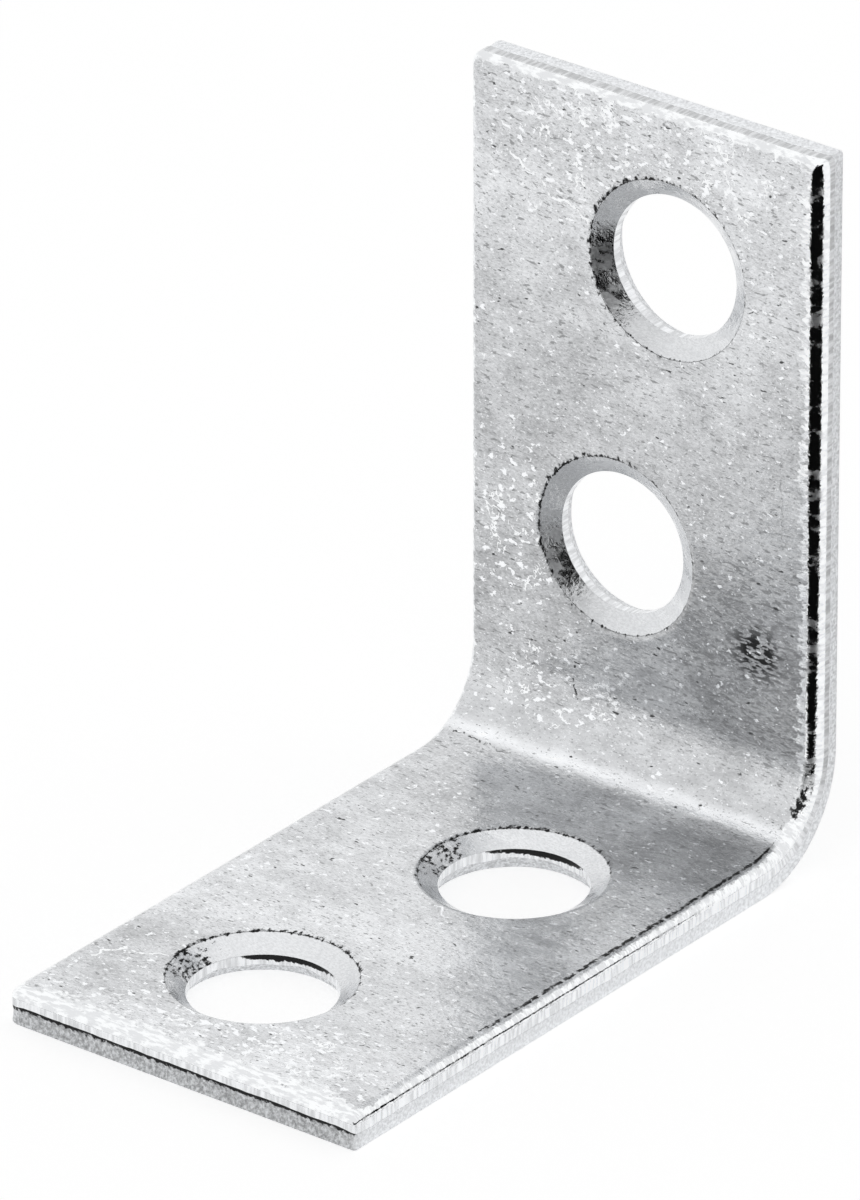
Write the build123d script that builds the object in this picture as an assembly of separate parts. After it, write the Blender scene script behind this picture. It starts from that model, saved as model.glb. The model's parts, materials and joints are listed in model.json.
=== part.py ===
from build123d import *
import os

# Small angle bracket: one punched steel strip folded to a right angle.
# Millimetres, +Z up. The origin is at the middle of the rectangle the bracket
# stands on. X runs across the strip. The base leg lies on the ground plane and
# points towards -Y, and the upright leg stands at the +Y side.

# The folded strip.
leg_length = 25.0        # outside of the fold to a leg's free end, the same for both legs
strip_width = 14.0
sheet_thickness = 1.2
fold_inside_radius = 2.7

# Edges. The punch drew the inside outline round, and left the outside outline sharp.
edge_roll_radius = 0.4   # along the whole inside outline
corner_radius = 0.55     # of the free corners on the -X side, seen square to each leg

# Screw holes, two in each leg, staggered along the strip.
end_margin = 5.5         # free end to the centre of the outer hole
fold_margin = 5.2        # where the flat leg begins, to the centre of the inner hole
hole_stagger = 1.0       # hole centres to either side of the strip's middle
screw_hole_diameter = 4.9
countersink_diameter = 6.2
countersink_depth = 0.45
land_depth = 0.35        # straight wall that the punch cut below the countersink
breakout_diameter = 5.4  # where the torn lower wall reaches the outside face

# Cutting tools run past the faces they cut by this much.
overrun = 0.2

fold_outside_radius = fold_inside_radius + sheet_thickness
free_end_y = -leg_length / 2
upright_outside_y = leg_length / 2
upright_inside_y = upright_outside_y - sheet_thickness


def folded_strip():
    """The plain strip: an L section with concentric fold radii, as wide as the strip."""
    outline = Polyline(
        (free_end_y, 0),
        (upright_outside_y, 0),
        (upright_outside_y, leg_length),
        (upright_inside_y, leg_length),
        (upright_inside_y, sheet_thickness),
        (free_end_y, sheet_thickness),
        close=True,
    )
    section = make_face(outline)
    outside_corner = section.vertices().sort_by_distance((upright_outside_y, 0, 0))[0]
    section = fillet(outside_corner, fold_outside_radius)
    inside_corner = section.vertices().sort_by_distance((upright_inside_y, sheet_thickness, 0))[0]
    section = fillet(inside_corner, fold_inside_radius)
    return extrude(Plane.YZ * section, amount=strip_width / 2, both=True)


def round_free_corners(strip):
    """Round the two free corners on the -X side, one at the end of each leg."""
    side_x = -strip_width / 2
    base_corner = strip.edges().filter_by(Axis.Z).sort_by_distance((side_x, free_end_y, 0))[0]
    upright_corner = strip.edges().filter_by(Axis.Y).sort_by_distance(
        (side_x, upright_outside_y, leg_length)
    )[0]
    return fillet([base_corner, upright_corner], corner_radius)


def is_inside_face(face):
    """True for the two flat inside faces and for the inside of the fold."""
    if face.geom_type == GeomType.CYLINDER:
        return abs(face.radius - fold_inside_radius) < 1e-6
    normal = face.normal_at()
    return normal.Z > 0.99 and face.center().Z < leg_length / 2 or normal.Y < -0.99 and face.center().Y > 0


def is_fold_line(edge):
    """True for the lines across the strip where the fold's inside meets a flat leg."""
    middle = edge.center()
    across = edge.geom_type == GeomType.LINE and abs((edge % 0.5).X) > 0.99
    return across and middle.Y > free_end_y + sheet_thickness and middle.Z < leg_length - sheet_thickness


def roll_inside_edges(strip):
    """Round the inside outline: the sides, the free ends and the arcs beside the fold."""
    inside_edges = strip.faces().filter_by(is_inside_face).edges()
    outline = [edge for edge in inside_edges if not is_fold_line(edge)]
    return fillet(outline, edge_roll_radius)


def hole_cutter():
    """One screw hole's space. Its axis is Z, and the inside face of the leg is at Z = 0."""
    rim = countersink_diameter / 2
    wall = screw_hole_diameter / 2
    breakout = breakout_diameter / 2
    land_end = countersink_depth + land_depth
    rim_slope = (rim - wall) / countersink_depth
    breakout_slope = (breakout - wall) / (sheet_thickness - land_end)
    outline = Polyline(
        (0, overrun),
        (rim + rim_slope * overrun, overrun),
        (wall, -countersink_depth),
        (wall, -land_end),
        (breakout + breakout_slope * overrun, -sheet_thickness - overrun),
        (0, -sheet_thickness - overrun),
        close=True,
    )
    return revolve(Plane.XZ * make_face(outline), Axis.Z)


def hole_places():
    """The planes of the four holes: origin on the inside face, Z out of that face."""
    outer_hole = leg_length - end_margin
    inner_hole = fold_outside_radius + fold_margin
    places = []
    for from_outside, side in ((outer_hole, -1), (inner_hole, 1)):
        base_origin = (side * hole_stagger, upright_outside_y - from_outside, sheet_thickness)
        upright_origin = (-side * hole_stagger, upright_inside_y, from_outside)
        places.append(Plane(base_origin, x_dir=(1, 0, 0), z_dir=(0, 0, 1)))
        places.append(Plane(upright_origin, x_dir=(1, 0, 0), z_dir=(0, -1, 0)))
    return places


def angle_bracket():
    """The whole bracket: folded, rounded along its inside outline, and punched."""
    bracket = roll_inside_edges(round_free_corners(folded_strip()))
    for place in hole_places():
        bracket -= place * hole_cutter()
    return bracket


os.makedirs("parts", exist_ok=True)
export_step(angle_bracket(), "parts/angle_bracket.step")
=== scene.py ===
"""A small zinc-plated angle bracket on a white table: its finish, its light and its camera."""

import json
import math

import bpy
import numpy as np
from mathutils import Matrix, Vector


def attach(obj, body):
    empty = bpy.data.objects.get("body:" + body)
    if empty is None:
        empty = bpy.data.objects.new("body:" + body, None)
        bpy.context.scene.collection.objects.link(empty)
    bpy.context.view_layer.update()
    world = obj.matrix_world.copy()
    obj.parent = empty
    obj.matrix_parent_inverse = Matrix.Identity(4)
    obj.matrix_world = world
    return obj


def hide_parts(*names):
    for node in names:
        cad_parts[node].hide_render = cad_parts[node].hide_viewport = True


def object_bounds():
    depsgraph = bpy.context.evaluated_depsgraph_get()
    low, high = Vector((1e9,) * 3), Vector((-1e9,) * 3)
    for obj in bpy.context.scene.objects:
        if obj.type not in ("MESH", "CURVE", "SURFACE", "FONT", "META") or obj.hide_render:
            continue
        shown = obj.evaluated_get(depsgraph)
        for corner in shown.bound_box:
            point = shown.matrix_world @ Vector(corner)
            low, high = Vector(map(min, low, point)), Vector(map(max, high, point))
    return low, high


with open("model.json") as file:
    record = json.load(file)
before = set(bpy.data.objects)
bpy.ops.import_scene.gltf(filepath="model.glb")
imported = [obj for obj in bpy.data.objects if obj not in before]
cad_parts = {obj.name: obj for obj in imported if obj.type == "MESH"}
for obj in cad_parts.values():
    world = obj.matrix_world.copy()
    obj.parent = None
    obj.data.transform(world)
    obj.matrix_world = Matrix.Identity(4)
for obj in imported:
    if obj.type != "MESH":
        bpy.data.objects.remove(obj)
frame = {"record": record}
cad_low, cad_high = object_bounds()

MM = 0.001

# The bracket's sizes, in millimetres. Its overall sizes and holes come from the frame.
sheet_thickness = 1.2
fold_inside_radius = 2.7
corner_radius_left = 0.55
corner_radius_right = 0.12
countersink_radius = 3.1
land_depth = 0.35
breakout_radius = 2.7
rim_drop = 0.02           # a countersink's rim lies this far below the inside face
COUNTERSINK_DEPTHS = {
    "base_outer_hole": 0.52,
    "base_inner_hole": 0.42,
    "upright_outer_hole": 0.43,
    "upright_inner_hole": 0.38,
}

# The cut sides of the strip. The punch drew each inside edge down in a quarter ellipse,
# width by depth. Below it comes a burnished band, and the rest of the wall is torn.
# Polish is how far the bright edge reaches, partly polished metal and partly a painted
# highlight. Sheen is how light the burnished band is, and dark is how deep grey the tear is;
# both differ from side to side, partly as the sides' own finish and partly as painted light
# and shade. Hollow is how far the tear leans in, groove is how black the tear's upper line
# is, and the last value is how black the line is where the rolled edge begins, a painted
# dark reflection.
# The right side differs between the two legs. Edge reads the sides in this order.
SIDES = {
    "base_end": {"width": 1.15, "depth": 0.24, "burnish": 0.30, "polish": 1.15,
                 "sheen": 0.80, "dark": 1.0, "hollow": 0.06, "groove": 0.95, "seam": 0.0},
    "upright_end": {"width": 0.40, "depth": 0.20, "burnish": 0.44, "polish": 0.32,
                    "sheen": 0.62, "dark": 0.0, "hollow": 0.03, "groove": 0.3, "seam": 0.0},
    "left": {"width": 0.50, "depth": 0.40, "burnish": 0.36, "polish": 0.30,
             "sheen": 0.66, "dark": 0.2, "hollow": 0.03, "groove": 0.4, "seam": 0.0},
    "base_right": {"width": 0.34, "depth": 0.26, "burnish": 0.44, "polish": 0.22,
                   "sheen": 0.84, "dark": 0.0, "hollow": 0.015, "groove": 0.2, "seam": 0.84},
    "upright_right": {"width": 0.62, "depth": 0.50, "burnish": 0.30, "polish": 0.80,
                      "sheen": 0.52, "dark": 0.35, "hollow": 0.02, "groove": 0.3, "seam": 0.0},
}

fold_outside_radius = fold_inside_radius + sheet_thickness
leg_length = (cad_high.z - cad_low.z) / MM
strip_width = (cad_high.x - cad_low.x) / MM
outside_y = cad_high.y / MM
flat_length = leg_length - fold_outside_radius
fold_length = math.pi / 2 * (fold_inside_radius + fold_outside_radius) / 2
strip_length = 2 * flat_length + fold_length

# The grid that the skin is made on.
patch_half = 3.8          # each hole sits in a square patch of the grid
patch_cells = 54
roll_cells = 12
close_lines = 1.0         # the grid lines crowd towards the edge over this width
cell = 2 * patch_half / patch_cells

# The faces' own unevenness fades out over these widths along their edges.
inside_fade = 0.3
outside_fade = 0.4

# Zones of the surface, read by the material.
FACE, BURNISH, FRACTURE, CONE = 0.0, 1.0, 2.0, 3.0


# ---------------------------------------------------------------- the strip, laid flat
# u runs along the strip from the base leg's free end, v across it, and w up from the
# outside face towards the inside face.

def fold(u, v, w):
    """Folds points of the flat strip into the bracket, in millimetres."""
    angle = np.clip((u - flat_length) / fold_length, 0.0, 1.0) * math.pi / 2
    radius = fold_outside_radius - w
    before = np.minimum(u, flat_length)
    after = np.maximum(u - flat_length - fold_length, 0.0)
    y = outside_y - leg_length + before + radius * np.sin(angle)
    z = fold_outside_radius - radius * np.cos(angle) + after
    return np.stack([v, y, z], axis=1)


def smooth_noise(u, v, size, seed):
    """Soft random field of about -1 to 1 whose bumps are size millimetres long."""
    draw = np.random.default_rng(seed)
    total = np.zeros_like(u)
    waves = 18
    for _ in range(waves):
        turn = draw.uniform(0, 2 * math.pi)
        rate = 2 * math.pi / (size * draw.uniform(0.7, 1.9))
        phase = draw.uniform(0, 2 * math.pi)
        total += np.sin((u * math.cos(turn) + v * math.sin(turn)) * rate + phase)
    return total / math.sqrt(waves)


def hole_places():
    """(u, v, bore radius, countersink depth) of each screw hole on the flat strip."""
    places = []
    for mount in frame["record"]["mounts"]:
        if mount["name"] not in COUNTERSINK_DEPTHS:
            continue
        x, y, z = [value / MM for value in mount["pos_m"]]
        if mount["name"].startswith("base"):
            u = y - (outside_y - leg_length)
        else:
            u = flat_length + fold_length + z - fold_outside_radius
        places.append((u, x, mount["dims"]["r_mm"], COUNTERSINK_DEPTHS[mount["name"]]))
    return sorted(places)


HOLES = hole_places()


def edge_steps(length):
    """Grid lines from an edge inwards: close over the rolled edge, then even."""
    turn = np.linspace(0, math.pi / 2, roll_cells + 1)
    rolled = close_lines * (1 - np.cos(turn))
    even = np.linspace(close_lines, length, max(2, round((length - close_lines) / cell)) + 1)
    return np.concatenate([rolled, even[1:]])


def even_steps(start, end, cells=None):
    """Grid lines from start to end, without start itself."""
    cells = cells or max(1, round((end - start) / cell))
    return np.linspace(start, end, cells + 1)[1:]


def lines_along():
    """Grid lines along the strip, with each hole's patch on whole cells."""
    lines = list(edge_steps(HOLES[0][0] - patch_half))
    for hole, following in zip(HOLES, HOLES[1:] + [None]):
        lines += list(even_steps(hole[0] - patch_half, hole[0] + patch_half, patch_cells))
        if following:
            lines += list(even_steps(hole[0] + patch_half, following[0] - patch_half))
    far = strip_length - edge_steps(strip_length - lines[-1])[::-1]
    return np.array(lines + list(far[1:]))


def lines_across():
    """Grid lines across the strip: both rows of patches start and end on one of them."""
    stagger = abs(HOLES[0][1])
    near, far = patch_half - stagger, patch_half + stagger
    shared = round(patch_cells * near / patch_half)
    side = edge_steps(strip_width / 2 - far) - strip_width / 2
    left = even_steps(-far, -near, patch_cells - shared)
    middle = even_steps(-near, near, shared)
    right = even_steps(near, far, patch_cells - shared)
    return np.concatenate([side, left, middle, right, -side[::-1][1:]])


U_LINES = lines_along()
V_LINES = lines_across()


def round_corners(u, v):
    """Moves grid points near the four free corners so that the outline rounds them."""
    u, v = u.copy(), v.copy()
    for end in (0, 1):
        for side, radius in ((-1, corner_radius_left), (1, corner_radius_right)):
            du = strip_length - u if end else u
            dv = strip_width / 2 - side * v
            inset = np.minimum(du, dv)
            along = np.maximum(du, dv) - inset
            reach = radius - inset
            moving = (reach > 1e-9) & (along < reach)
            turn = math.pi / 4 * (1 - along[moving] / reach[moving])
            close = radius - reach[moving] * np.cos(turn)
            wide = radius - reach[moving] * np.sin(turn)
            by_end = du[moving] < dv[moving]
            new_du = np.where(by_end, close, wide)
            new_dv = np.where(by_end, wide, close)
            u[moving] = strip_length - new_du if end else new_du
            v[moving] = side * (strip_width / 2 - new_dv)
    return u, v


class Edge:
    """What each point takes from the cut sides near it."""

    blend_width = 0.2        # over this width one side gives way to the next at a corner
    line_width = 0.08
    fade_length = 9.0        # nearer the base leg's free end than this, the line fades to half
    hook_place = (24.4, 0.24)
    hook_size = (0.9, 0.18)

    def __init__(self, u, v):
        left, right = v + strip_width / 2, strip_width / 2 - v
        away = np.stack([u, strip_length - u, left, right, right])
        self.inset = away.min(axis=0)
        self.along = u
        pull = np.exp(-(away - self.inset) / self.blend_width)
        upright = np.clip((u - flat_length) / fold_length, 0, 1)
        pull[3] *= 1 - upright
        pull[4] *= upright
        self.pull = pull / pull.sum(axis=0)

    def of(self, name):
        """One value of the sides, blended where two of them meet."""
        values = np.array([side[name] for side in SIDES.values()])
        return (values[:, None] * self.pull).sum(axis=0)

    def drop(self):
        """How far the inside face has been drawn down."""
        share = np.clip(1 - self.inset / self.of("width"), 0, 1)
        return self.of("depth") * (1 - np.sqrt(np.maximum(0, 1 - share ** 2)))

    def seam(self):
        """How black the line is where the rolled edge begins, with the hook at its end: a painted dark
        reflection.
        """
        away = (self.inset - self.of("width")) / self.line_width
        line = np.exp(-away ** 2) * np.clip(self.along / self.fade_length, 0.5, 1)
        hook_along = (self.along - self.hook_place[0]) / self.hook_size[0]
        hook_across = (self.inset - self.hook_place[1]) / self.hook_size[1]
        hook = 0.8 * np.exp(-hook_across ** 2 - hook_along ** 2)
        right_side = self.pull[3] + self.pull[4]
        return self.of("seam") * line + right_side * hook

    def shine(self):
        """1 at the edge, 0 where its bright band ends, and below 0 further in."""
        return np.clip(1 - self.inset / self.of("polish"), -1, 1)


class Sheet:
    """Collects the points and faces of the bracket's one closed skin."""

    def __init__(self):
        self.points = []
        self.faces = []
        self.count = 0

    def add(self, u, v, w, zone, tone, stain_and_dark_reflection=0.0):
        """Adds points and returns their numbers. zone, tone and the black marks (stains and painted
        dark reflections) steer the material.
        """
        columns = np.broadcast_arrays(u, v, w, zone, tone, stain_and_dark_reflection)
        self.points.append(np.stack(columns, axis=1).astype(float))
        numbers = np.arange(self.count, self.count + len(columns[0]))
        self.count += len(numbers)
        return numbers

    def strip(self, first, second, flip=False):
        """Adds a ring of four-sided faces between two rings with equally many points."""
        quads = np.stack([first, np.roll(first, -1), np.roll(second, -1), second], axis=1)
        self.faces.append(quads[:, ::-1] if flip else quads)


def patch_bounds(hole):
    """The grid line numbers that bound a hole's patch: (u from, u to, v from, v to)."""
    u_from = int(np.argmin(np.abs(U_LINES - (hole[0] - patch_half))))
    v_from = int(np.argmin(np.abs(V_LINES - (hole[1] - patch_half))))
    return u_from, u_from + patch_cells, v_from, v_from + patch_cells


def loop_round(u_from, u_to, v_from, v_to):
    """Grid positions round a rectangle, as two arrays, in one turn."""
    along = np.arange(u_from, u_to)
    across = np.arange(v_from, v_to)
    first_end, far_end = np.full(len(across), u_from), np.full(len(across), u_to)
    first_side, far_side = np.full(len(along), v_from), np.full(len(along), v_to)
    i = np.concatenate([along, far_end, along[::-1] + 1, first_end])
    j = np.concatenate([first_side, across, far_side, across[::-1] + 1])
    return i, j


def face_relief(u, v):
    """The inside face's own unevenness in millimetres: slow waves and shallow dents."""
    relief = 0.004 * smooth_noise(u, v, 5.0, 11) + 0.0012 * smooth_noise(u, v, 1.1, 12)
    draw = np.random.default_rng(21)
    dents = 150
    for _ in range(dents):
        place_u = draw.uniform(0, strip_length)
        place_v = draw.uniform(-strip_width / 2, strip_width / 2)
        size = draw.uniform(0.12, 0.4)
        depth = draw.uniform(-0.010, 0.006)
        away = ((u - place_u) ** 2 + ((v - place_v) / 1.6) ** 2) / size ** 2
        relief += depth * np.exp(-away)
    return relief


def outside_relief(u, v):
    """The outside face's slow waves in millimetres, nearly all of them inwards."""
    return 0.002 * (smooth_noise(u, v, 4.0, 31) + 1.6)


def broad_face(sheet, inside):
    """One broad face of the strip. Returns its outline and each hole's rim, as point numbers."""
    grid_u, grid_v = np.meshgrid(U_LINES, V_LINES, indexing="ij")
    keep = np.ones(grid_u.shape, bool)
    quads = np.ones((len(U_LINES) - 1, len(V_LINES) - 1), bool)
    for hole in HOLES:
        i0, i1, j0, j1 = patch_bounds(hole)
        keep[i0 + 1:i1, j0 + 1:j1] = False
        quads[i0:i1, j0:j1] = False
    flat_u, flat_v = grid_u[keep], grid_v[keep]
    edge = Edge(flat_u, flat_v)
    u, v = round_corners(flat_u, flat_v)
    if inside:
        uneven = face_relief(u, v) * np.clip(edge.inset / inside_fade, 0, 1)
        w = sheet_thickness - edge.drop() + uneven
        shine = edge.shine()
        # Along the rolled edge this holds a painted dark reflection.
        stain_and_dark_reflection = edge.seam()
    else:
        w = outside_relief(u, v) * np.clip(edge.inset / outside_fade, 0, 1)
        shine = -1.0
        stain_and_dark_reflection = 0.0
    numbers = np.full(grid_u.shape, -1)
    numbers[keep] = sheet.add(u, v, w, FACE, shine, stain_and_dark_reflection)
    i, j = np.nonzero(quads)
    corners = [numbers[i, j], numbers[i + 1, j], numbers[i + 1, j + 1], numbers[i, j + 1]]
    square = np.stack(corners, axis=1)
    sheet.faces.append(square[:, ::-1] if inside else square)
    rims = [hole_surround(sheet, hole, numbers, inside) for hole in HOLES]
    outline = numbers[loop_round(0, len(U_LINES) - 1, 0, len(V_LINES) - 1)]
    return outline, rims


def hole_turns(hole):
    """The direction of each point round a hole, as an angle on the flat strip."""
    i, j = loop_round(*patch_bounds(hole))
    return np.arctan2(V_LINES[j] - hole[1], U_LINES[i] - hole[0])


def breakout_edge(hole, turns):
    """Where the torn lower wall reaches the outside face, round one hole."""
    wander = sum(np.sin(turns * n + hole[0] * n) / n for n in (2, 3, 5, 9, 14))
    return breakout_radius + 0.035 * wander


def hole_surround(sheet, hole, numbers, inside):
    """The face between a hole's square patch and its rim. Returns the rim's point numbers."""
    i, j = loop_round(*patch_bounds(hole))
    start_u, start_v = U_LINES[i], V_LINES[j]
    turns = hole_turns(hole)
    radius = countersink_radius if inside else breakout_edge(hole, turns)
    rim_u = hole[0] + radius * np.cos(turns)
    rim_v = hole[1] + radius * np.sin(turns)
    row = numbers[i, j]
    for share in (0.3, 0.5, 0.66, 0.79, 0.89, 0.955, 1.0):
        u = start_u + (rim_u - start_u) * share
        v = start_v + (rim_v - start_v) * share
        away = np.hypot(u - hole[0], v - hole[1]) - radius
        if inside:
            w, shine, stain_and_dark_reflection = inside_rim(hole, turns, u, v, away)
        else:
            w = outside_relief(u, v) * np.clip(away / outside_fade, 0, 1)
            shine, stain_and_dark_reflection = -1.0, 0.0
        following = sheet.add(u, v, w, FACE, shine, stain_and_dark_reflection)
        sheet.strip(row, following, flip=inside)
        row = following
    return row


def inside_rim(hole, turns, u, v, away):
    """Height, shine and dark rim line of the inside face, this far away from a countersink."""
    burr_height, burr_away, burr_width = 0.022, 0.14, 0.13
    rim_line_width = 0.28
    around = 0.6 + 0.5 * np.sin(turns * 3 + hole[0])
    burr = burr_height * np.exp(-((away - burr_away) / burr_width) ** 2) * around
    dip = rim_drop * np.exp(-(away / 0.05) ** 2)
    shine = np.where(away < 0.5, -0.12 - away, -1.0)
    stain_and_dark_reflection = 0.62 * np.clip(1 - away / rim_line_width, 0, 1) * (0.75 + 0.25 * np.sin(turns + 2.2))
    return sheet_thickness + face_relief(u, v) + burr - dip, shine, stain_and_dark_reflection


def outer_wall(sheet, top, bottom):
    """The cut wall round the strip: burnished below the rolled edge, then torn."""
    points = np.concatenate(sheet.points)
    u, v = points[bottom, :2].T
    wall_top = points[top, 2]
    step_u = np.roll(u, -1) - np.roll(u, 1)
    step_v = np.roll(v, -1) - np.roll(v, 1)
    length = np.hypot(step_u, step_v)
    out_u, out_v = step_v / length, -step_u / length
    edge = Edge(u, v)
    # Sheen and dark differ by side, partly as painted light and shade.
    dark, sheen, hollow = edge.of("dark"), edge.of("sheen"), edge.of("hollow")
    travel = np.cumsum(np.hypot(u - np.roll(u, 1), v - np.roll(v, 1)))
    level = np.zeros_like(travel)
    ragged = 0.010 * smooth_noise(travel, level, 1.6, 41)
    ragged += 0.009 * smooth_noise(travel, level, 0.4, 42)
    tear = wall_top - edge.of("burnish") + ragged
    row = top
    for share in (0.33, 0.67, 0.94):
        row = wall_row(sheet, row, u, v, wall_top + (tear - wall_top) * share, BURNISH, sheen)
    for share in (0.0, 0.05, 0.12, 0.20, 0.32, 0.50, 0.75, 0.994):
        height = tear * (1 - share)
        rough = 0.010 * smooth_noise(travel, height * 7, 0.35, 43)
        depth = (hollow + rough) * math.sin(math.pi * share)
        stain_and_dark_reflection = edge.of("groove") * max(0.0, 1 - share / 0.42)
        torn_u, torn_v = u - out_u * depth, v - out_v * depth
        row = wall_row(sheet, row, torn_u, torn_v, height, FRACTURE, dark, stain_and_dark_reflection)
    sheet.strip(row, bottom)


def wall_row(sheet, row, u, v, w, zone, tone, stain_and_dark_reflection=0.0):
    """One more row of points down the outer wall, joined to the row above it."""
    following = sheet.add(u, v, w, zone, tone, stain_and_dark_reflection)
    sheet.strip(row, following)
    return following


def facing_share(turns, direction, limit, steepness):
    """1 where a hole's wall lies in this direction from its middle, and 0 further round."""
    return np.clip((np.cos(turns - direction) - limit) * steepness, 0, 1)


def hole_wall(sheet, hole, top, bottom):
    """The countersink, the straight land the punch cut, and the torn wall below it."""
    land_sheen = 0.8
    tear_dark = 0.5
    turns = hole_turns(hole)
    place_u, place_v, bore, sink = hole
    land_end = sink + land_depth + 0.03 * np.sin(turns * 5 + place_v) + 0.02 * np.sin(turns * 11)
    row = countersink(sheet, hole, top, turns)
    for share in (0.05, 0.35, 0.65, 0.95):
        height = sheet_thickness - sink - (land_end - sink) * share
        stain_and_dark_reflection = 0.0
        if place_u < flat_length and share < 0.9:
            # The base leg's lands get a black crescent on the side of the fold, a painted dark
            # reflection.
            stain_and_dark_reflection = facing_share(turns, -0.28, 0.62 + 0.6 * share ** 2, 4)
        row = ring(sheet, row, hole, bore, height, turns, BURNISH, land_sheen, stain_and_dark_reflection)
    edge = breakout_edge(hole, turns)
    for share in (0.1, 0.45, 0.75, 0.985):
        height = (sheet_thickness - land_end) * (1 - share)
        ripple = 0.012 * (1 - share) * np.sin(turns * 31 + share * 9)
        radius = bore + (edge - bore) * share ** 0.7 + ripple
        row = ring(sheet, row, hole, radius, height, turns, FRACTURE, tear_dark)
    sheet.strip(row, bottom, flip=True)


def countersink(sheet, hole, top, turns):
    """The countersink's rings, lighter on one side as painted light, darker on the upright's other side
    as painted shade, and with a painted dark reflection on one side in the base leg.
    """
    place_u, _, bore, sink = hole
    if place_u < flat_length:
        painted_side_light = np.clip(np.cos(turns + 0.66), 0, 1)
        side_dark_reflection = 0.46 * facing_share(turns, -math.pi / 2 - 0.12, 0.80, 6)
    else:
        painted_side_light = np.minimum(np.sin(turns), 2.6 * np.sin(turns))
        side_dark_reflection = np.zeros_like(turns)
    chatter = 0.004 * np.sin(turns * 23 + place_u)
    rim_height = sheet_thickness - rim_drop
    slope_width = bore - countersink_radius
    row = top
    for share in (0.04, 0.14, 0.35, 0.6, 0.85, 1.0):
        radius = countersink_radius + slope_width * share ** 0.96 + chatter * (1 - share)
        height = rim_height - (rim_height - sheet_thickness + sink) * share
        rim_dark_line = 0.6 * (1 - share / 0.15)
        stain_and_dark_reflection = np.maximum(side_dark_reflection, rim_dark_line)
        row = ring(sheet, row, hole, radius, height, turns, CONE, painted_side_light, stain_and_dark_reflection)
    return row


def ring(sheet, row, hole, radius, w, turns, zone, tone, stain_and_dark_reflection=0.0):
    """One more ring of points down a hole's wall, joined to the ring above it."""
    u = hole[0] + radius * np.cos(turns)
    v = hole[1] + radius * np.sin(turns)
    following = sheet.add(u, v, w, zone, tone, stain_and_dark_reflection)
    sheet.strip(row, following, flip=True)
    return following


def bracket_mesh():
    """The whole bracket as one closed mesh, with what its material reads."""
    sharp_angle = math.radians(38)
    sheet = Sheet()
    top, top_rims = broad_face(sheet, inside=True)
    bottom, bottom_rims = broad_face(sheet, inside=False)
    outer_wall(sheet, top, bottom)
    for hole, top_rim, bottom_rim in zip(HOLES, top_rims, bottom_rims):
        hole_wall(sheet, hole, top_rim, bottom_rim)
    points = np.concatenate(sheet.points)
    faces = np.concatenate(sheet.faces)
    mesh = bpy.data.meshes.new("bracket_skin")
    mesh.from_pydata((fold(*points[:, :3].T) * MM).tolist(), [], faces.tolist())
    place = mesh.attributes.new("strip_place", "FLOAT_VECTOR", "POINT")
    place.data.foreach_set("vector", points[:, :3].astype(np.float32).ravel())
    for name, column in (("zone", 3), ("tone", 4), ("stain_and_dark_reflection", 5)):
        attribute = mesh.attributes.new(name, "FLOAT", "POINT")
        attribute.data.foreach_set("value", points[:, column].astype(np.float32))
    mesh.validate()
    mesh.update()
    mesh.shade_smooth()
    mesh.set_sharp_from_angle(angle=sharp_angle)
    return mesh


# ---------------------------------------------------------------- the zinc plating

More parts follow.
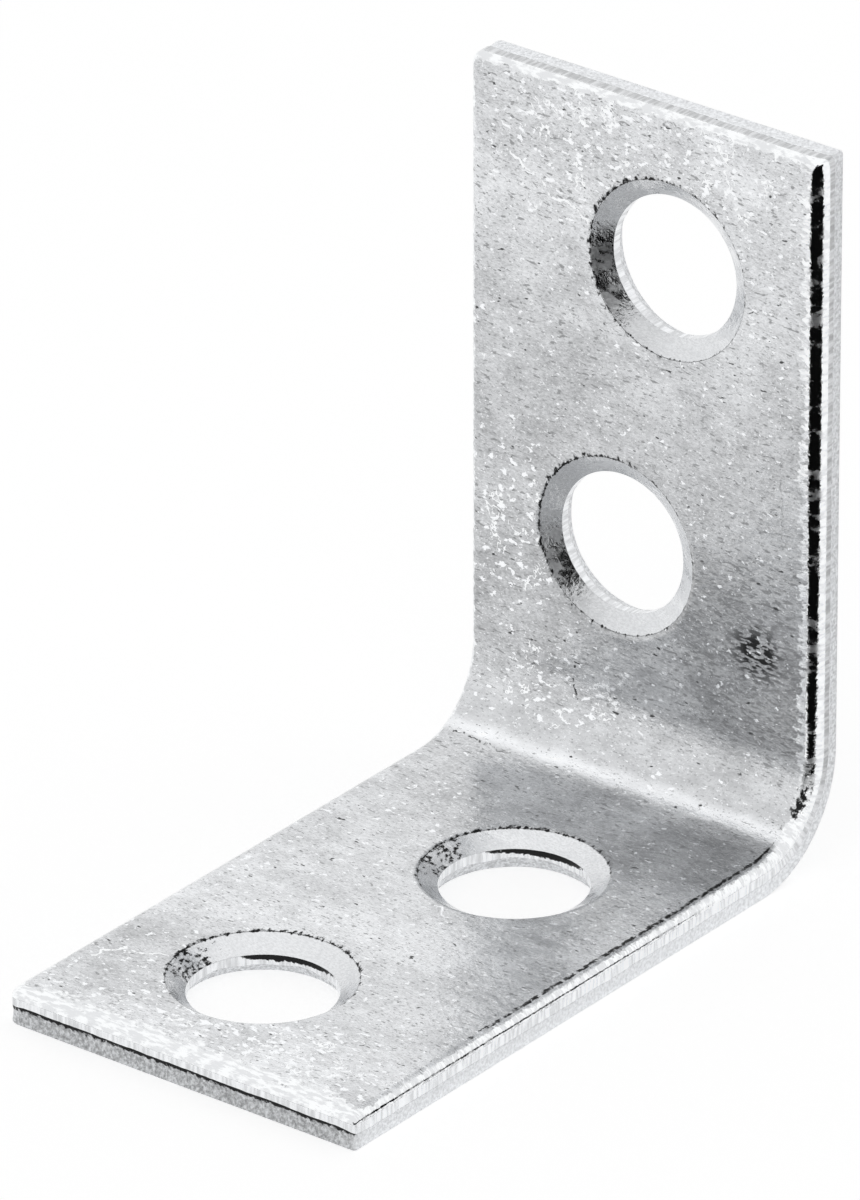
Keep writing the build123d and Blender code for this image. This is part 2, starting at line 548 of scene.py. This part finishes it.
class Nodes:
    """Short names for building a node tree."""

    def __init__(self, tree):
        self.tree = tree
        tree.nodes.clear()

    def add(self, kind, inputs=None, **settings):
        node = self.tree.nodes.new(kind)
        for name, value in settings.items():
            setattr(node, name, value)
        for name, value in (inputs or {}).items():
            self.set(node.inputs[name], value)
        return node

    def set(self, socket, value):
        if isinstance(value, bpy.types.NodeSocket):
            self.tree.links.new(value, socket)
        else:
            socket.default_value = value

    def math(self, operation, first, second=0.0, clamp=False):
        node = self.add("ShaderNodeMath", {0: first, 1: second}, operation=operation, use_clamp=clamp)
        return node.outputs[0]

    def scaled(self, vector, sizes):
        node = self.add("ShaderNodeVectorMath", {0: vector, 1: sizes}, operation="MULTIPLY")
        return node.outputs[0]

    def attribute(self, name, output="Fac"):
        return self.add("ShaderNodeAttribute", attribute_name=name).outputs[output]

    def noise(self, vector, scale, detail=2.0, rough=0.5):
        inputs = {"Vector": vector, "Scale": scale, "Detail": detail, "Roughness": rough}
        return self.add("ShaderNodeTexNoise", inputs).outputs["Fac"]

    def ramp(self, value, low, high, to_low=0.0, to_high=1.0):
        node = self.add(
            "ShaderNodeMapRange",
            {"Value": value, "From Min": low, "From Max": high, "To Min": to_low, "To Max": to_high},
            interpolation_type="SMOOTHSTEP",
        )
        return node.outputs["Result"]

    def vector(self, operation, first, second=(0.0, 0.0, 0.0)):
        return self.add("ShaderNodeVectorMath", {0: first, 1: second}, operation=operation)

    def times(self, first, second):
        return self.math("MULTIPLY", first, second)

    def minus(self, first, second):
        return self.math("SUBTRACT", first, second)

    def plus(self, first, second):
        return self.math("ADD", first, second)

    def patch(self, place, u, v, half_length, half_width):
        """1 at this place on the inside face, and 0 from half the length or width away."""
        offset = self.vector("SUBTRACT", place, (u, v, sheet_thickness)).outputs[0]
        offset = self.vector("DIVIDE", offset, (half_length, half_width, 1.5)).outputs[0]
        return self.ramp(self.vector("LENGTH", offset).outputs["Value"], 1.0, 0.3)

    def wisps(self, place, scale, width, limit):
        """Short wandering lines, where a slower noise is above the limit."""
        lines = self.math("ABSOLUTE", self.minus(self.noise(place, scale, 2.0, 0.7), 0.5))
        thin = self.ramp(lines, width, width * 0.4)
        above = self.minus(self.noise(place, scale * 0.45, 3.0, 0.6), limit)
        return self.times(thin, self.ramp(above, 0.0, 0.04))

    def scratch(self, place, start, end, width):
        """A wavering, broken line from start to end on the inside face."""
        waver = 1.1
        texture = self.add("ShaderNodeTexNoise", {"Vector": place, "Scale": 1.3, "Detail": 4.0})
        bent = self.scaled(texture.outputs["Color"], (waver, waver, 0.0))
        place = self.vector("ADD", place, bent).outputs[0]
        middle = Vector((waver / 2, waver / 2, 0.0))
        first = Vector((*start, sheet_thickness)) + middle
        run = Vector((*end, sheet_thickness)) + middle - first
        offset = self.vector("SUBTRACT", place, first).outputs[0]
        share = self.vector("DOT_PRODUCT", offset, run / run.length_squared).outputs["Value"]
        share = self.math("MINIMUM", self.math("MAXIMUM", share, 0.0), 1.0)
        reach = self.add("ShaderNodeVectorMath", {0: run, "Scale": share}, operation="SCALE").outputs[0]
        away = self.vector("LENGTH", self.vector("SUBTRACT", offset, reach).outputs[0]).outputs["Value"]
        broken = self.ramp(self.noise(place, 3.4, 3.0, 0.6), 0.42, 0.50)
        return self.times(self.ramp(away, width, width * 0.5), broken)

    def mix(self, share, first, second):
        node = self.add("ShaderNodeMix", data_type="RGBA")
        self.set(node.inputs["Factor"], share)
        self.set(node.inputs["A"], first)
        self.set(node.inputs["B"], second)
        return node.outputs["Result"]

    def blend(self, share, first, second):
        node = self.add("ShaderNodeMix", data_type="FLOAT")
        self.set(node.inputs["Factor"], share)
        self.set(node.inputs["A"], first)
        self.set(node.inputs["B"], second)
        return node.outputs["Result"]


zinc_tint = (0.985, 1.0, 1.02)

# How bright the zinc is painted along the strip. The levels carry painted shade: darker
# near the fold and low on the upright, where the faces mirror the other leg and the shaded
# table, and lighter towards both ends. Over each row's span of u the level passes from the
# row before to this one. The bright row is a painted highlight, a line low in the fold.
FIRST_LEVEL = 0.73
LEVELS_WITH_PAINTED_LIGHT = [
    (12.0, 20.0, 0.64),
    (22.3, 22.75, 0.94),
    (22.9, 23.5, 0.67),
    (24.2, 26.6, 0.52),
    (29.0, 34.0, 0.57),
    (36.0, 44.0, 0.71),
]

# Patches of the inside face: u, v, half length and half width.
FRONT_LEFT_DARKER_PATCH = (4.0, -4.5, 5.0, 4.5)
# Painted shade on the base leg near the fold, where it mirrors the upright.
MIRRORED_UPRIGHT_SHADE_PATCH = (20.0, 4.4, 3.4, 3.6)
# Low on the upright: denser dark dashes, and a painted shade that darkens the zinc.
DASHED_SHADE_PATCH = (29.3, 4.6, 5.5, 4.5)
BLACK_DASH_PATCH = (29.4, 4.7, 1.3, 1.4)
FLECKED_PATCHES = [
    (46.0, 0.0, 5.0, 9.0),
    (1.5, 1.0, 3.5, 9.0),
    (31.0, -5.0, 4.5, 2.5),
    (25.5, -3.0, 2.5, 4.5),
]

# Marks on the inside face: (u, v) of both ends, half width, and brightness.
SCRATCHES = [
    ((44.3, -5.5), (43.6, -4.1), 0.07, 0.99),
    ((43.6, -4.1), (42.6, -2.1), 0.06, 0.99),
    ((26.1, -2.8), (25.4, -2.4), 0.06, 0.06),
    ((22.5, -6.2), (22.5, -5.2), 0.05, 0.10),
    ((22.4, -5.0), (22.4, -3.9), 0.04, 0.20),
    ((3.3, -6.2), (4.4, -5.6), 0.06, 0.99),
    ((4.4, -5.6), (4.7, -4.2), 0.05, 0.99),
    ((36.0, 5.6), (33.4, 5.7), 0.03, 0.40),
    ((11.8, 6.0), (10.8, 6.4), 0.04, 0.97),
    ((12.6, 0.3), (12.2, 1.2), 0.04, 0.97),
]


def grey(level):
    """A very slightly bluish grey."""
    return (*(min(1.0, level * part) for part in zinc_tint), 1.0)


def new_material(name):
    """A material with this name, and its empty node tree."""
    material = bpy.data.materials.new(name)
    material.use_nodes = True
    return material, Nodes(material.node_tree)


class Surface:
    """What the zinc reads at each point: its place, its zone, and the noises it shares."""

    def __init__(self, n):
        place = n.attribute("strip_place", "Vector")
        zone = n.attribute("zone")
        self.place = place
        self.tone = n.attribute("tone")
        self.stain_and_dark_reflection = n.attribute("stain_and_dark_reflection")

        # 1 in one zone of the skin and 0 in the others.
        self.face = n.ramp(zone, 0.6, 0.4)
        self.burnish = n.math("MULTIPLY", n.ramp(zone, 0.4, 0.6), n.ramp(zone, 1.6, 1.4), clamp=True)
        self.fracture = n.math("MULTIPLY", n.ramp(zone, 1.4, 1.6), n.ramp(zone, 2.6, 2.4), clamp=True)
        self.cone = n.ramp(zone, 2.4, 2.6)

        # Noises. Most are drawn out across the strip, and the stripes run down the walls.
        grain = n.scaled(place, (1.0, 0.42, 1.0))
        self.clouds = n.noise(place, 0.32, 3.0, 0.55)
        self.mottle = n.noise(grain, 2.2, 4.0, 0.6)
        self.flakes = n.noise(n.scaled(place, (1.0, 0.62, 1.0)), 4.2, 3.0, 0.55)
        self.pits = n.noise(grain, 5.3, 2.0, 0.55)
        self.dashes = n.noise(n.scaled(place, (1.0, 0.33, 1.0)), 9.0, 2.0, 0.5)
        self.grit = n.noise(n.scaled(place, (1.0, 0.6, 1.0)), 13.0, 2.0, 0.5)
        self.fine = n.noise(grain, 18.0, 2.0, 0.6)
        self.stripes = n.noise(n.scaled(place, (5.0, 5.0, 0.7)), 1.4, 2.0, 0.5)

        # Where along the strip: low in the fold, and on the base leg.
        self.along = n.add("ShaderNodeSeparateXYZ", {"Vector": place}).outputs["X"]
        self.bent = n.times(n.ramp(self.along, 22.2, 22.6), n.ramp(self.along, 25.6, 23.8))
        self.on_base = n.ramp(self.along, 21.0, 17.0)
        # The dashed patch low on the upright, which also holds a painted shade.
        self.dashed_shade = n.patch(place, *DASHED_SHADE_PATCH)


def face_brightness(n, s):
    """The zinc's brightness on the broad faces, before its marks, with painted shade and a painted
    highlight along the strip.
    """
    level = FIRST_LEVEL
    for start, end, following in LEVELS_WITH_PAINTED_LIGHT:
        level = n.blend(n.ramp(s.along, start, end), level, following)
    level = n.plus(level, n.ramp(s.clouds, 0.3, 0.7, -0.07, 0.07))
    level = n.plus(level, n.ramp(s.mottle, 0.3, 0.7, -0.07, 0.07))
    speckle = n.blend(s.bent, 0.10, 0.03)
    level = n.plus(level, n.times(n.ramp(s.fine, 0.25, 0.75, -1.0, 1.0), speckle))
    # Darker in a patch at the front left of the base leg.
    level = n.minus(level, n.times(n.patch(s.place, *FRONT_LEFT_DARKER_PATCH), 0.12))
    # Painted shade where the base leg mirrors the upright.
    level = n.minus(level, n.times(n.patch(s.place, *MIRRORED_UPRIGHT_SHADE_PATCH), 0.17))
    # Painted shade in the dashed patch low on the upright.
    return n.minus(level, n.times(s.dashed_shade, 0.12))


def dark_marks(n, s, shade):
    """Dark dashes, thickest in the patch low on the upright, dark and light grit, and a cluster of
    black dashes.
    """
    limit = n.minus(n.blend(s.dashed_shade, 0.37, 0.46), n.times(s.bent, 0.08))
    limit = n.minus(limit, n.times(s.on_base, 0.03))
    shade = n.mix(n.ramp(n.minus(limit, s.dashes), -0.02, 0.05, 0.0, 0.8), shade, grey(0.26))
    shade = n.mix(n.ramp(s.grit, 0.39, 0.32, 0.0, 0.55), shade, grey(0.30))
    shade = n.mix(n.ramp(s.grit, 0.63, 0.70, 0.0, 0.7), shade, grey(0.92))
    black_dash_area = n.patch(s.place, *BLACK_DASH_PATCH)
    return n.mix(n.times(black_dash_area, n.ramp(s.dashes, 0.53, 0.49)), shade, grey(0.03))


def bright_marks(n, s, shade):
    """Raised flakes, wisps, scratches of their own brightness, and black pits."""
    flecked = 0.0
    for patch in FLECKED_PATCHES:
        flecked = n.math("MAXIMUM", flecked, n.patch(s.place, *patch))
    limit = n.minus(n.blend(flecked, 0.645, 0.585), n.times(s.on_base, 0.02))
    shade = n.mix(n.ramp(n.minus(s.flakes, limit), 0.0, 0.03), shade, grey(0.98))
    wisps = n.wisps(s.place, 2.4, 0.04, n.blend(flecked, 0.70, 0.54))
    shade = n.mix(wisps, shade, grey(0.99))
    for start, end, width, bright in SCRATCHES:
        shade = n.mix(n.scratch(s.place, start, end, width), shade, grey(bright))
    return n.mix(n.ramp(s.pits, 0.30, 0.26), shade, grey(0.08))


def polished_edge_and_highlight(n, s, shade):
    """The bright, streaked metal of the rolled edges: partly polish, partly a painted highlight."""
    shine = n.plus(s.tone, n.times(n.minus(s.flakes, 0.5), 2.0))
    streaks = n.noise(n.scaled(s.place, (3.2, 1.0, 1.0)), 2.4, 3.0, 0.6)
    bright = n.mix(n.ramp(streaks, 0.42, 0.58), grey(0.80), grey(0.99))
    return n.mix(n.times(n.ramp(shine, 0.22, 0.42), s.face), shade, bright)


def cut_walls(n, s, shade):
    """The burnished and torn walls and the countersinks; their tones differ by side, partly as painted
    light and shade.
    """
    burnished = n.scaled(n.plus(s.tone, n.ramp(s.stripes, 0.3, 0.7, -0.14, 0.14)), zinc_tint)
    crumbs = n.ramp(n.noise(s.place, 9.0, 3.0, 0.65), 0.3, 0.7)
    torn_light = n.mix(crumbs, grey(0.74), grey(0.98))
    torn_dark = n.mix(crumbs, grey(0.34), grey(0.80))
    # Countersinks are lighter or darker by side: painted light and shade.
    sunk = n.scaled(n.plus(n.ramp(s.fine, 0.3, 0.7, 0.66, 0.78), n.times(s.tone, 0.08)), zinc_tint)
    shade = n.mix(s.burnish, shade, burnished)
    shade = n.mix(s.fracture, shade, n.mix(s.tone, torn_light, torn_dark))
    return n.mix(s.cone, shade, sunk)


def stains_and_dark_reflections(n, s, shade):
    """Ragged black marks where the skin asks for them: stains, dark lines, and painted dark
    reflections.
    """
    patchy = n.minus(n.noise(n.scaled(s.place, (0.7, 1.0, 1.0)), 6.0, 4.0, 0.65), 0.5)
    blackened = n.ramp(n.plus(s.stain_and_dark_reflection, n.times(patchy, 1.6)), 0.42, 0.60)
    return n.mix(n.times(blackened, n.ramp(s.stain_and_dark_reflection, 0.0, 0.2)), shade, grey(0.02))


def polish(n, s):
    """Roughness: smoothest on the rolled edges and coarsest where the sheet tore."""
    roughness = n.blend(n.ramp(s.mottle, 0.3, 0.7), 0.18, 0.30)
    edge_roughness = n.blend(n.ramp(s.mottle, 0.50, 0.62), 0.08, 0.34)
    roughness = n.blend(n.times(n.ramp(s.tone, 0.1, 0.6), s.face), roughness, edge_roughness)
    roughness = n.blend(s.burnish, roughness, 0.24)
    roughness = n.blend(s.fracture, roughness, 0.55)
    return n.blend(s.cone, roughness, n.blend(n.ramp(s.mottle, 0.45, 0.58), 0.14, 0.34))


def fine_relief(n, s):
    """The heights that are too fine for the mesh."""
    wavy = n.plus(n.times(s.mottle, 0.6), n.times(s.flakes, 0.7))
    wavy = n.plus(wavy, n.times(s.fine, 0.10))
    torn = n.times(n.minus(n.noise(s.place, 11.0, 4.0, 0.7), 0.4), 2.2)
    relief = n.blend(s.burnish, wavy, n.times(s.stripes, 0.5))
    relief = n.blend(s.fracture, relief, torn)
    return n.blend(s.cone, relief, n.times(n.noise(s.place, 5.0, 3.0, 0.6), 0.6))


def zinc_plating():
    """Bright zinc over punched steel: mottled faces, polished edges and torn walls."""
    material, n = new_material("zinc_plated_steel")
    s = Surface(n)
    shade = n.scaled(face_brightness(n, s), zinc_tint)
    for layer in (dark_marks, bright_marks, polished_edge_and_highlight, cut_walls, stains_and_dark_reflections):
        shade = layer(n, s, shade)
    relief_height = 0.028 * MM
    relief = {"Height": fine_relief(n, s), "Strength": 1.0, "Distance": relief_height}
    normal = n.add("ShaderNodeBump", relief).outputs["Normal"]
    look = {"Base Color": shade, "Metallic": 1.0, "Roughness": polish(n, s), "Normal": normal}
    shader = n.add("ShaderNodeBsdfPrincipled", look)
    n.add("ShaderNodeOutputMaterial", {"Surface": shader.outputs["BSDF"]})
    return material


# ---------------------------------------------------------------- the table and the light

WHITE = (1.0, 1.0, 1.0, 1.0)


def seen_directly(n):
    """1 for what the camera sees, also in metal or through glass, and 0 for other light."""
    rays = n.add("ShaderNodeLightPath")
    seen = n.plus(rays.outputs["Is Camera Ray"], rays.outputs["Is Glossy Ray"])
    return n.math("ADD", seen, rays.outputs["Is Transmission Ray"], clamp=True)


def white_table():
    """A white disc that keeps a soft shadow."""
    radius = 0.9
    rim_points = 96
    clearance = 0.00002      # below the bracket, so that the two never share a plane
    reflected = 0.62
    glow_level = 0.63
    turns = np.linspace(0, 2 * math.pi, rim_points, endpoint=False)
    rim = [(radius * math.cos(turn), radius * math.sin(turn), 0.0) for turn in turns]
    mesh = bpy.data.meshes.new("table_top")
    mesh.from_pydata(rim, [], [list(range(rim_points))])
    table = bpy.data.objects.new("table", mesh)
    table.location.z = -clearance
    bpy.context.scene.collection.objects.link(table)
    material, n = new_material("white_table")
    matt = n.add("ShaderNodeBsdfDiffuse", {"Color": (reflected, reflected, reflected, 1.0)})
    strength = n.times(seen_directly(n), glow_level)
    glow = n.add("ShaderNodeEmission", {"Color": WHITE, "Strength": strength})
    both = n.add("ShaderNodeAddShader", {0: matt.outputs[0], 1: glow.outputs[0]})
    n.add("ShaderNodeOutputMaterial", {"Surface": both.outputs[0]})
    mesh.materials.append(material)


def white_room():
    """White all round where it is seen, and a lower, even level where it only lights."""
    lighting_level = 0.55
    seen_level = 1.0
    world = bpy.data.worlds.new("white_room")
    world.use_nodes = True
    n = Nodes(world.node_tree)
    level = n.blend(seen_directly(n), lighting_level, seen_level)
    background = n.add("ShaderNodeBackground", {"Color": WHITE, "Strength": level})
    n.add("ShaderNodeOutputWorld", {"Surface": background.outputs[0]})
    bpy.context.scene.world = world


def facing(place, target):
    """The turn that points an object's -Z from place to target."""
    return (Vector(target) - Vector(place)).to_track_quat("-Z", "Y")


def soft_lamp(name, direction, distance, size, power):
    """A square lamp that shines on the bracket and table from this side, unseen in the metal."""
    target = (0.0, 0.0, 0.01)
    data = bpy.data.lights.new(name, "AREA")
    data.shape = "SQUARE"
    data.size = size
    data.energy = power
    lamp = bpy.data.objects.new(name, data)
    lamp.location = Vector(target) + Vector(direction).normalized() * distance
    lamp.rotation_mode = "QUATERNION"
    lamp.rotation_quaternion = facing(lamp.location, target)
    lamp.visible_glossy = False
    bpy.context.scene.collection.objects.link(lamp)


def black_card(name, corners):
    """A nearly black card with these corners, in millimetres, that only shows in the metal."""
    black_level = 0.003
    mesh = bpy.data.meshes.new(name)
    mesh.from_pydata([[value * MM for value in corner] for corner in corners], [], [(0, 1, 2, 3)])
    material, n = new_material(name)
    glow = n.add("ShaderNodeEmission", {"Color": WHITE, "Strength": black_level})
    n.add("ShaderNodeOutputMaterial", {"Surface": glow.outputs[0]})
    mesh.materials.append(material)
    board = bpy.data.objects.new(name, mesh)
    board.visible_camera = False
    board.visible_diffuse = False
    board.visible_shadow = False
    board.visible_transmission = False
    bpy.context.scene.collection.objects.link(board)


def light_scene():
    """Plain soft light, and two cards that draw the bracket's dark edges and countersinks."""
    white_room()
    soft_lamp("key", (-0.557, -0.072, 0.827), distance=0.30, size=0.10, power=0.0075)
    soft_lamp("top", (0.15, 0.1, 1.0), distance=0.35, size=0.25, power=0.06)
    near_x = 8.8             # the cards begin just to the bracket's right
    low_z = 0.05
    black_card("black_beside", [
        (near_x, -190, low_z),
        (120, -190, low_z),
        (120, 8, low_z),
        (near_x, 8, low_z),
    ])
    black_card("black_in_front", [
        (near_x, -185, low_z),
        (85, -157, low_z),
        (85, -157, 75),
        (near_x, -185, 85),
    ])


# ---------------------------------------------------------------- the camera

def make_camera():
    """A long lens, from the front right and above."""
    azimuth = math.radians(37.92)
    elevation = math.radians(26.83)
    roll = math.radians(-0.08)
    distance = 0.4964
    aim = Vector((-0.00153, 0.00229, 0.01062))
    back = Vector((math.sin(azimuth) * math.cos(elevation),
                   -math.cos(azimuth) * math.cos(elevation), math.sin(elevation)))
    level = Vector((math.cos(azimuth), math.sin(azimuth), 0.0))
    upright = back.cross(level)
    right = level * math.cos(roll) + upright * math.sin(roll)
    up = upright * math.cos(roll) - level * math.sin(roll)
    data = bpy.data.cameras.new("camera")
    data.lens = 469.9
    data.clip_start = 0.01
    data.clip_end = 10.0
    camera = bpy.data.objects.new("camera", data)
    turn = Matrix((right, up, back)).transposed()
    camera.matrix_world = Matrix.Translation(aim + back * distance) @ turn.to_4x4()
    bpy.context.scene.collection.objects.link(camera)
    bpy.context.scene.camera = camera


# ---------------------------------------------------------------- all together

def make_bracket():
    """The bracket's skin, which stands for the plain solid."""
    mesh = bracket_mesh()
    mesh.materials.append(zinc_plating())
    bracket = bpy.data.objects.new("bracket_skin", mesh)
    bpy.context.scene.collection.objects.link(bracket)
    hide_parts("angle_bracket")
    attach(bracket, "root")


make_camera()
make_bracket()
white_table()
light_scene()
bpy.context.scene.view_settings.view_transform = "Standard"
